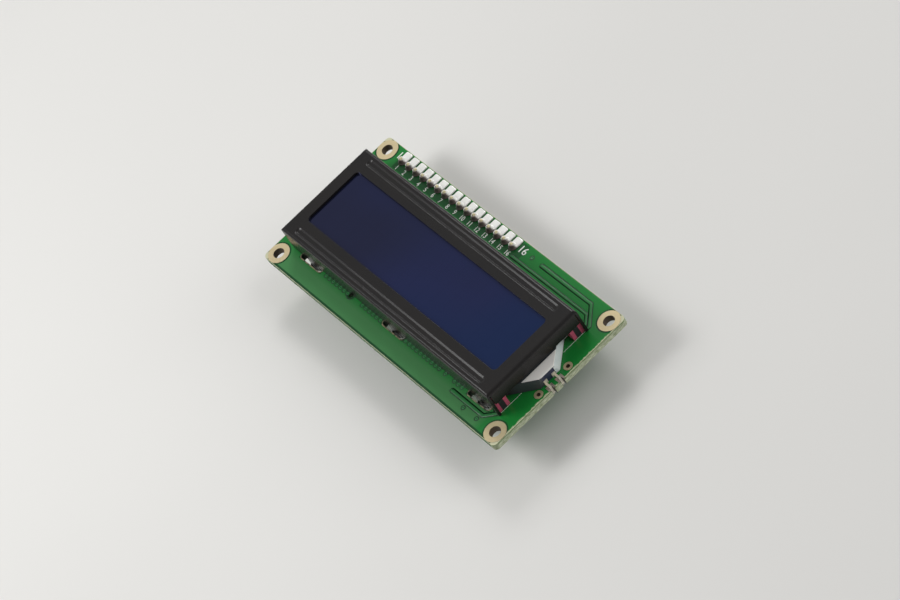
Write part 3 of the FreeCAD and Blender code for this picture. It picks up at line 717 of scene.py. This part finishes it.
# %% [markdown]
# Three finishes need something of their own. The rubber core is a stack of conducting and insulating
# layers along the strip, each 0.18 mm thick. A chip resistor is white ceramic with a black glaze on
# its outer face only, so it asks which way a face looks. The light guide is clear acrylic over a
# white film: it glows pale, so a little light travels under its surface.


# %% Layered rubber, glazed resistor and light guide
RUBBER_LAYER = 0.18


def layered_rubber():
    """Conducting black and insulating grey silicone in thin layers."""
    material, tree, shader, place = start_finish("layered_carbon_silicone", Roughness=0.5, IOR=1.41)
    layers = add_node(tree, "TexWave", {
        "Vector": place, "Scale": per_metre(RUBBER_LAYER) / BANDS_PER_UNIT}, bands_direction="X")
    striped = add_node(tree, "Mix", {"Factor": layers, "A": "101012", "B": "2a2a2d"}, data_type="RGBA")
    feed(shader, {"Base Color": striped})
    return material


def glazed_chip_resistor():
    """White alumina with a black glaze on the face that looks away from the board."""
    material, tree, shader, place = start_finish("glazed_chip_resistor", Roughness=0.35)
    outward = add_node(tree, "Math", {0: looks_up(tree), 1: -0.5}, operation="LESS_THAN")
    _, glaze = clouded(tree, place, 0.15, "141416", "1d1d20")
    body = add_node(tree, "Mix", {"Factor": outward, "A": "e4e2dc", "B": glaze}, data_type="RGBA")
    feed(shader, {"Base Color": body})
    return material


def clear_acrylic_guide():
    """Moulded clear acrylic over white film: pale, cool and softly lit from within."""
    material, tree, shader, place = start_finish(
        "clear_acrylic_light_guide", Roughness=0.25, IOR=1.49, Subsurface_Weight=0.35,
        Subsurface_Radius=(1.0 * MM, 1.1 * MM, 1.1 * MM), Subsurface_Scale=1.0)
    _, haze = clouded(tree, place, 1.5, "cfd8d9", "e0e7e6")
    feed(shader, {"Base Color": haze})
    return material


# %% [markdown]
# ## Give every solid its finish
# Each solid carries a slot name from the imported record, so one table from slot to finish dresses them
# all, and nothing is left with a flat colour. Only the tab slots differ from their slot: they are gold
# like the rings, but mostly darkened to a deep green, so they have a line of their own.

# %% Assign finishes by slot
FINISHES = {
    "board": gloss_green_solder_mask(),
    "gold_plating": immersion_gold(),
    "tinned_plating": tinned_copper_pad(),
    "pin_metal": gold_flashed_brass(),
    "solder": flowed_solder(),
    "bezel_paint": satin_black_enamel(),
    "polarizer": blue_polarizing_film(),
    "cell_glass": float_glass(),
    "zebra_core": layered_rubber(),
    "light_guide": clear_acrylic_guide(),
    "lead_metal": tinned_lead_frame(),
    "resistor_body": glazed_chip_resistor(),
    **MOULDED,
}
OWN_FINISHES = {"tab_slot_plating": worn_slot_plating()}
dressed = 0
for name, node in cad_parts.items():
    for slot in node.material_slots:
        slot.material = OWN_FINISHES.get(name) or FINISHES[slot.material.name.split(".")[0]]
        dressed += 1
print("solids dressed:", dressed)


# %% [markdown]
# ## Drawing on the board
# Tracks, printed lines and etched gaps are all strips a fraction of a millimetre wide that follow a
# route. A curve with a small bevel does this well: the route stays a short list of points, and the
# section is swept along it. Flattened afterwards, the round section becomes the low ridge that lacquer
# makes over a track. Four points that narrow quickly draw each open end round.


# %% Strips along a route
def round_ended(route, half_width):
    """The points of an open strip with their share of its width, with a round end on each side."""
    first, last = Vector(route[0]), Vector(route[-1])
    start_way = (first - Vector(route[1])).normalized()
    end_way = (last - Vector(route[-2])).normalized()
    quarter = [math.radians(angle) for angle in (0, 30, 60)]
    start = [(first + start_way * half_width * math.cos(a), math.sin(a)) for a in quarter]
    end = [(last + end_way * half_width * math.cos(a), math.sin(a)) for a in reversed(quarter)]
    return start + [(Vector(point), 1.0) for point in route] + end


def add_curve(bm, curve, place):
    """Adds a curve or a text to a bmesh as mesh, placed by a matrix, and removes the curve."""
    holder = bpy.data.objects.new("curve", curve)
    mesh = bpy.data.meshes.new_from_object(holder)
    mesh.transform(place)
    bm.from_mesh(mesh)
    bpy.data.objects.remove(holder)
    bpy.data.curves.remove(curve)
    bpy.data.meshes.remove(mesh)


def add_strips(bm, routes, width, height, face, closed=False):
    """Adds flat strips along routes on the board's front or back, all in millimetres."""
    curve = bpy.data.curves.new("route", "CURVE")
    curve.dimensions = "3D"
    curve.twist_mode = "Z_UP"
    curve.bevel_depth = width / 2
    curve.bevel_resolution = 1
    for route in routes:
        points = [(Vector(p), 1.0) for p in route] if closed else round_ended(route, width / 2)
        spline = curve.splines.new("POLY")
        spline.points.add(len(points) - 1)
        for target, (place, share) in zip(spline.points, points):
            target.co = (*place, 0, 1)
            target.radius = share
        spline.use_cyclic_u = closed
    middle = face + (height / 2 if face == FRONT else -height / 2)
    flatten = Matrix.Diagonal((1, 1, height / width, 1))
    add_curve(bm, curve, Matrix.Translation((0, 0, middle)) @ flatten)


def circle(middle_x, middle_y, radius, steps=96):
    """A closed route round a point."""
    return [(middle_x + radius * math.cos(2 * math.pi * i / steps),
             middle_y + radius * math.sin(2 * math.pi * i / steps)) for i in range(steps)]


def add_piece(name, bm, material):
    """Turns a bmesh in millimetres into a piece of the module."""
    bmesh.ops.remove_doubles(bm, verts=bm.verts, dist=0.0005)
    bmesh.ops.recalc_face_normals(bm, faces=bm.faces)
    bmesh.ops.scale(bm, vec=(MM, MM, MM), verts=bm.verts)
    mesh = bpy.data.meshes.new(name)
    bm.to_mesh(mesh)
    bm.free()
    mesh.materials.append(material)
    piece = bpy.data.objects.new(name, mesh)
    scene.collection.objects.link(piece)
    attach(piece, "root")
    print(f"{name}: {len(mesh.polygons)} faces")


def lift(bm, z):
    """Moves a bmesh straight up or down, in millimetres."""
    bmesh.ops.translate(bm, vec=(0, 0, z), verts=bm.verts)
    return bm


# %% [markdown]
# ## Tracks on the front
# Beside the header two tracks run to the display's end and turn down under it, and a third does the
# same at the near side. Each is an island in the copper pour: a dark etched gap runs all round it. So
# the gap is laid first, as a wider and lower strip, and the track is laid on it.

# %% Front tracks and their gaps
GAP_WIDTH = 0.2
TRACK_HEIGHT = 0.014
GAP_HEIGHT = 0.01
FRONT_ROUTES = [
    ([(15.1, 16.0), (31.2, 16.0), (35.0, 12.2), (35.0, 11.6)], 0.92),
    ([(7.6, 13.8), (32.2, 13.8), (34.0, 12.0)], 0.66),
    ([(22.2, -14.6), (32.4, -14.6), (34.6, -12.4)], 1.0),
]
gap_lacquer = moulded("lacquer_in_etched_gap", "0c4420", "093518", 0.35, (0.9, 0.003))
track_lacquer = moulded("lacquer_over_track", "1f7c38", "196b2f", 0.3, (0.9, 0.004))
gaps = bmesh.new()
tracks = bmesh.new()
for route, width in FRONT_ROUTES:
    add_strips(gaps, [route], width + GAP_WIDTH, GAP_HEIGHT, FRONT)
    add_strips(tracks, [route], width - GAP_WIDTH, TRACK_HEIGHT, FRONT)
add_piece("etched_gaps", gaps, gap_lacquer)
add_piece("front_tracks", tracks, track_lacquer)


# %% [markdown]
# ## Small plated holes
# Rows of small plated holes carry the display's lines from one face to the other. Lacquer covers them,
# so each shows as a low green collar with a dimple, and a dark disc in the dimple is painted shade. One
# hole is made from a short cone whose top is inset and pressed in, and then it is copied. The copper
# keeps clear of each hole, and of the plain hole that places the display, so dark rings lie round them.

# %% Plated holes
VIA_RADIUS = 0.34
VIA_TOP_RADIUS = VIA_RADIUS * 0.85
VIA_BORE = 0.12
VIA_HEIGHT = 0.03
VIA_DIMPLE = VIA_HEIGHT * 0.7
VIA_CLEARANCE = 0.24
VIA_SIDES = 14
VIA_PITCH = 1.275
NEAR_ROW_Y = slots_low.y + 0.6
NEAR_ROW_RUNS = [(-23.6, 7), (-10.8, 6), (4.35, 10), (17.9, 1), (20.9, 3)]
LONE_VIAS = [(11.8, 16.1), (27.4, -15.85), (31.8, -15.85)]
LOCATING_HOLE = (-15.0, NEAR_WALL_Y - 0.1)
LOCATING_RADIUS = 0.6
HALO_WIDTH = 0.5


def run_of_holes(first, count):
    """Where a run of holes lies along the board."""
    return [first + VIA_PITCH * i for i in range(count)]


near_row = [(x, NEAR_ROW_Y) for first, count in NEAR_ROW_RUNS for x in run_of_holes(first, count)]
print("small holes along the near side:", len(near_row))


def repeat(bm, places):
    """Copies what the bmesh holds to each place, and drops the original."""
    master = bm.verts[:] + bm.edges[:] + bm.faces[:]
    originals = bm.verts[:]
    for matrix in places:
        copied = bmesh.ops.duplicate(bm, geom=master)["geom"]
        verts = [item for item in copied if isinstance(item, bmesh.types.BMVert)]
        bmesh.ops.transform(bm, matrix=matrix, verts=verts)
    bmesh.ops.delete(bm, geom=originals, context="VERTS")
    return bm


def collar():
    """One lacquered collar, with the dimple of its hole, standing on the plane z = 0."""
    bm = bmesh.new()
    bmesh.ops.create_cone(bm, cap_ends=True, segments=VIA_SIDES, radius1=VIA_RADIUS,
                          radius2=VIA_TOP_RADIUS, depth=VIA_HEIGHT)
    lift(bm, VIA_HEIGHT / 2)
    bm.faces.ensure_lookup_table()
    top = max(bm.faces, key=lambda face: face.calc_center_median().z)
    bmesh.ops.inset_individual(bm, faces=[top], thickness=VIA_TOP_RADIUS - VIA_BORE)
    bmesh.ops.translate(bm, vec=(0, 0, -VIA_DIMPLE), verts=top.verts)
    return bm


def disc(radius, height):
    """A thin disc standing on the plane z = 0."""
    bm = bmesh.new()
    bmesh.ops.create_cone(bm, cap_ends=True, segments=VIA_SIDES, radius1=radius, radius2=radius,
                          depth=height)
    return lift(bm, height / 2)


def stand_on(face, x, y, axis="X"):
    """Stands a shape on a face of the board. On the back it is turned over, about X or Y."""
    half_turn = Matrix.Rotation(math.pi if face == BACK else 0, 4, axis)
    return Matrix.Translation((x, y, face)) @ half_turn


# %% [markdown]
# ## Tracks on the back
# The back carries what drives the display: two chips under black resin, a row of small resistors and
# two capacitors. It isn't in the photograph, so its tracks follow how such a board is laid out: the
# chips fan out to the rows of small holes, and tracks turn by 45 degrees.

# %% Places on the back
UNDER_RESIN = 0.94
BACK_TRACK_WIDTH = 0.32
POWER_TRACK_WIDTH = 0.7
LADDER_XS = [-7.0 + 2.6 * i for i in range(5)]
OSCILLATOR_RESISTOR_X = 23.5
LAMP_RESISTOR_X = 28.0
CAPACITOR_XS = [-29.5, -25.5]


def dome_circle(node):
    """The middle and the radius of a drop of resin."""
    low, high = box_mm(node)
    return (low.x + high.x) / 2, (low.y + high.y) / 2, (high.x - low.x) / 2


controller = dome_circle("controller_dome")
driver = dome_circle("driver_dome")
chips_low, chips_high = box_mm("chip_pads")
CHIP_ROW_Y = (chips_low.y + chips_high.y) / 2
print(f"chips at x = {controller[0]:.1f} and {driver[0]:.1f} mm")

# %% [markdown]
# Six of the pins run down to the first chip, two feed the lamp, and the others end in small holes
# beside the header. A bus joins the chips, and the bias resistors hang on it. The lamp and the
# capacitors have wide tracks.


# %% Route the back
def rim_y(dome, x, side):
    """Where a track at x ends under a dome's rim, on one side of it."""
    middle_x, middle_y, radius = dome
    reach = math.sqrt(max((radius * UNDER_RESIN) ** 2 - (x - middle_x) ** 2, 0))
    return middle_y + side * reach


def fan(xs, start_y, turn_y, dome, side, squeeze):
    """Routes from a row of points to a dome: straight, then 45 degrees inwards, then straight in."""
    middle_x = dome[0]
    routes = []
    for x in xs:
        end_x = middle_x + (x - middle_x) * squeeze
        end_y = turn_y - side * abs(x - end_x)
        routes.append([(x, start_y), (x, turn_y), (end_x, end_y), (end_x, rim_y(dome, end_x, side))])
    return routes


near_controller = [x for x, _ in near_row if x < 0]
near_driver = [x for x, _ in near_row if x > 0]
far_driver = run_of_holes(7.8, 9)
FAR_ROW_Y = 10.3
PAD_Y = HEADER_Y - 0.9
back_routes = fan(near_controller, NEAR_ROW_Y, NEAR_ROW_Y + 1.0, controller, -1, 0.62)
back_routes += fan(near_driver, NEAR_ROW_Y, NEAR_ROW_Y + 1.0, driver, -1, 0.55)
back_routes += fan(far_driver, FAR_ROW_Y, FAR_ROW_Y - 1.0, driver, 1, 0.7)
back_routes += fan(PIN_XS[3:9], PAD_Y, HEADER_Y - 2.2, controller, 1, 0.72)

BUS_PITCH = 0.75
BUS_YS = [DISPLAY_Y - 3.0 + BUS_PITCH * i for i in range(6)]
bus_left = controller[0] + 5.8
bus_right = driver[0] - 4.8
chip_pad_y = chips_low.y + 0.2
back_routes += [[(bus_left, y), (bus_right, y)] for y in BUS_YS]
for i, x in enumerate(LADDER_XS):
    level = BUS_YS[-1] + BUS_PITCH * (i + 1)
    back_routes.append([(x, chip_pad_y), (x, level + 0.3), (x + 0.3, level), (bus_right + 0.9, level)])

stub_pins = PIN_XS[:3] + PIN_XS[9:14]
STUB_Y = HEADER_Y - 2.15
back_routes += [[(x, PAD_Y), (x, STUB_Y)] for x in stub_pins]

lamp_pads_low, lamp_pads_high = box_mm("lamp_edge_pads")
LAMP_PITCH = 2.54
lamp_y = (lamp_pads_low.y + lamp_pads_high.y) / 2
far_pad_y = lamp_y + LAMP_PITCH / 2
near_pad_y = lamp_y - LAMP_PITCH / 2
power_routes = [
    [(PIN_XS[15], PAD_Y), (PIN_XS[15] + 0.75, HEADER_Y - 1.65), (33.6, HEADER_Y - 1.65),
     (36.6, HEADER_Y - 4.65), (36.6, far_pad_y + 2.4), (38.7, far_pad_y + 0.3)],
    [(PIN_XS[14], PAD_Y), (PIN_XS[14], HEADER_Y - 2.0), (PIN_XS[14] + 0.6, HEADER_Y - 2.6),
     (21.6, HEADER_Y - 2.6), (25.3, 9.2), (27.7, 9.2)],
    [(LAMP_RESISTOR_X, chip_pad_y), (LAMP_RESISTOR_X, 5.0), (33.6, 5.0), (35.2, 3.4),
     (35.2, near_pad_y + 3.2), (38.6, near_pad_y - 0.2)],
    [(-28.6, chip_pad_y), (-28.6, 4.4), (-25.6, 1.4), (-22.6, 1.4)],
    [(CAPACITOR_XS[0], chips_high.y - 0.2), (CAPACITOR_XS[0], PAD_Y)],
]
back_tracks = bmesh.new()
add_strips(back_tracks, back_routes, BACK_TRACK_WIDTH, TRACK_HEIGHT, BACK)
add_strips(back_tracks, power_routes, POWER_TRACK_WIDTH, TRACK_HEIGHT, BACK)
add_piece("back_tracks", back_tracks, track_lacquer)

# %% [markdown]
# Every small hole is copied from one collar and one dark disc, painted shade in its dimple. On the
# front the display covers the far row, and numbers are printed over the header's holes, so both are laid
# on the back alone.

# %% Lay the plated holes
front_holes = near_row + LONE_VIAS
hidden_holes = [(x, STUB_Y) for x in stub_pins] + [(x, FAR_ROW_Y) for x in far_driver]
front_places = [stand_on(FRONT, x, y) for x, y in front_holes]
places = front_places + [stand_on(BACK, x, y) for x, y in front_holes + hidden_holes]
collar_lacquer = moulded("lacquer_over_collar", "2b8c46", "237c3b", 0.32, (0.5, 0.004))
# Painted shade: a dark disc in each dimple.
dimple_painted_shade = moulded("dimple_painted_shade", "0b3319", "072410", 0.35, (0.2, 0.004))
dimple_shade_disc = disc(VIA_BORE * 0.95, VIA_HEIGHT * 0.35)
add_piece("via_collars", repeat(collar(), places), collar_lacquer)
add_piece("via_dimple_shade", repeat(dimple_shade_disc, places), dimple_painted_shade)
clearances = repeat(disc(VIA_RADIUS + VIA_CLEARANCE, GAP_HEIGHT), front_places)
halo = circle(*LOCATING_HOLE, LOCATING_RADIUS + 0.3, steps=40)
add_strips(clearances, [halo], HALO_WIDTH, GAP_HEIGHT, FRONT, closed=True)
add_piece("copper_clearances", clearances, gap_lacquer)

# %% [markdown]
# ## Printing
# White ink is screened over the lacquer. On the front it numbers the pins, with larger numbers at the
# header's ends, which come again on the back. Type is already drawn well in a text object, so each
# number is one, made into a mesh. A digit is 0.7 of the type's size, and ink spreads it a little.

# %% Print the numbers
INK_HEIGHT = 0.03
INK_SPREAD = 0.015
LARGE_DIGIT = 1.7
SMALL_DIGIT = 1.15
LABEL_Y = HEADER_Y - 1.75
DIGIT_SHARE = 0.7
END_MARKS = [(1, PIN_XS[0] - 1.85), (PIN_COUNT, PIN_XS[-1] + 2.6)]
ink = moulded("white_legend_ink", "eef0ea", "d6dad2", 0.6, (0.25, 0.004))


def digits(bm, text, place, height, narrow=1.0):
    """Adds a printed number of a real height, in millimetres, turned and placed by a matrix."""
    curve = bpy.data.curves.new("digits", "FONT")
    curve.body = str(text)
    curve.align_x = "CENTER"
    curve.align_y = "CENTER"
    curve.size = height / DIGIT_SHARE
    curve.extrude = INK_HEIGHT / 2
    curve.offset = INK_SPREAD
    curve.resolution_u = 3
    on_face = Matrix.Translation((0, 0, INK_HEIGHT / 2)) @ Matrix.Diagonal((narrow, 1, 1, 1))
    add_curve(bm, curve, place @ on_face)


numbers = bmesh.new()
for number, x in END_MARKS:
    digits(numbers, number, stand_on(FRONT, x, HEADER_Y + 0.6), LARGE_DIGIT)
    digits(numbers, number, stand_on(BACK, x, HEADER_Y, axis="Y"), LARGE_DIGIT)
for number, x in enumerate(PIN_XS, start=1):
    digits(numbers, number, stand_on(FRONT, x, LABEL_Y), SMALL_DIGIT, narrow=0.85)
add_piece("printed_numbers", numbers, ink)

# %% [markdown]
# The printed lines are the same strips as the tracks. On the front they mark the display's ends. On
# the back they ring each drop of resin, which stopped it flowing, and box the small parts.

# %% Print the lines
LINE_WIDTH = 0.18
END_LINE_WIDTH = 0.1
END_LINE_X = 35.15
DOME_RING_GAP = 0.7
CHIP_BOX_HALF = (0.95, 1.8)
CHIP_XS = LADDER_XS + [OSCILLATOR_RESISTOR_X, LAMP_RESISTOR_X] + CAPACITOR_XS
nose_low, nose_high = box_mm("nose_film")
front_lines = [
    [(END_LINE_X, nose_high.y + 1.0), (END_LINE_X, glass_high.y + 0.3)],
    [(END_LINE_X, glass_low.y - 0.3), (END_LINE_X, nose_low.y - 1.0)],
    [(-END_LINE_X, glass_low.y - 0.3), (-END_LINE_X, glass_high.y + 0.3)],
]


def frame_round(x, y, half_x, half_y):
    """A closed route along a box's four sides."""
    return [(x - half_x, y - half_y), (x + half_x, y - half_y), (x + half_x, y + half_y),
            (x - half_x, y + half_y)]


dome_rings = [circle(x, y, radius + DOME_RING_GAP) for x, y, radius in (controller, driver)]
chip_boxes = [frame_round(x, CHIP_ROW_Y, *CHIP_BOX_HALF) for x in CHIP_XS]
printed_lines = bmesh.new()
add_strips(printed_lines, front_lines, END_LINE_WIDTH, INK_HEIGHT, FRONT)
add_strips(printed_lines, dome_rings + chip_boxes, LINE_WIDTH, INK_HEIGHT, BACK, closed=True)
add_piece("printed_lines", printed_lines, ink)
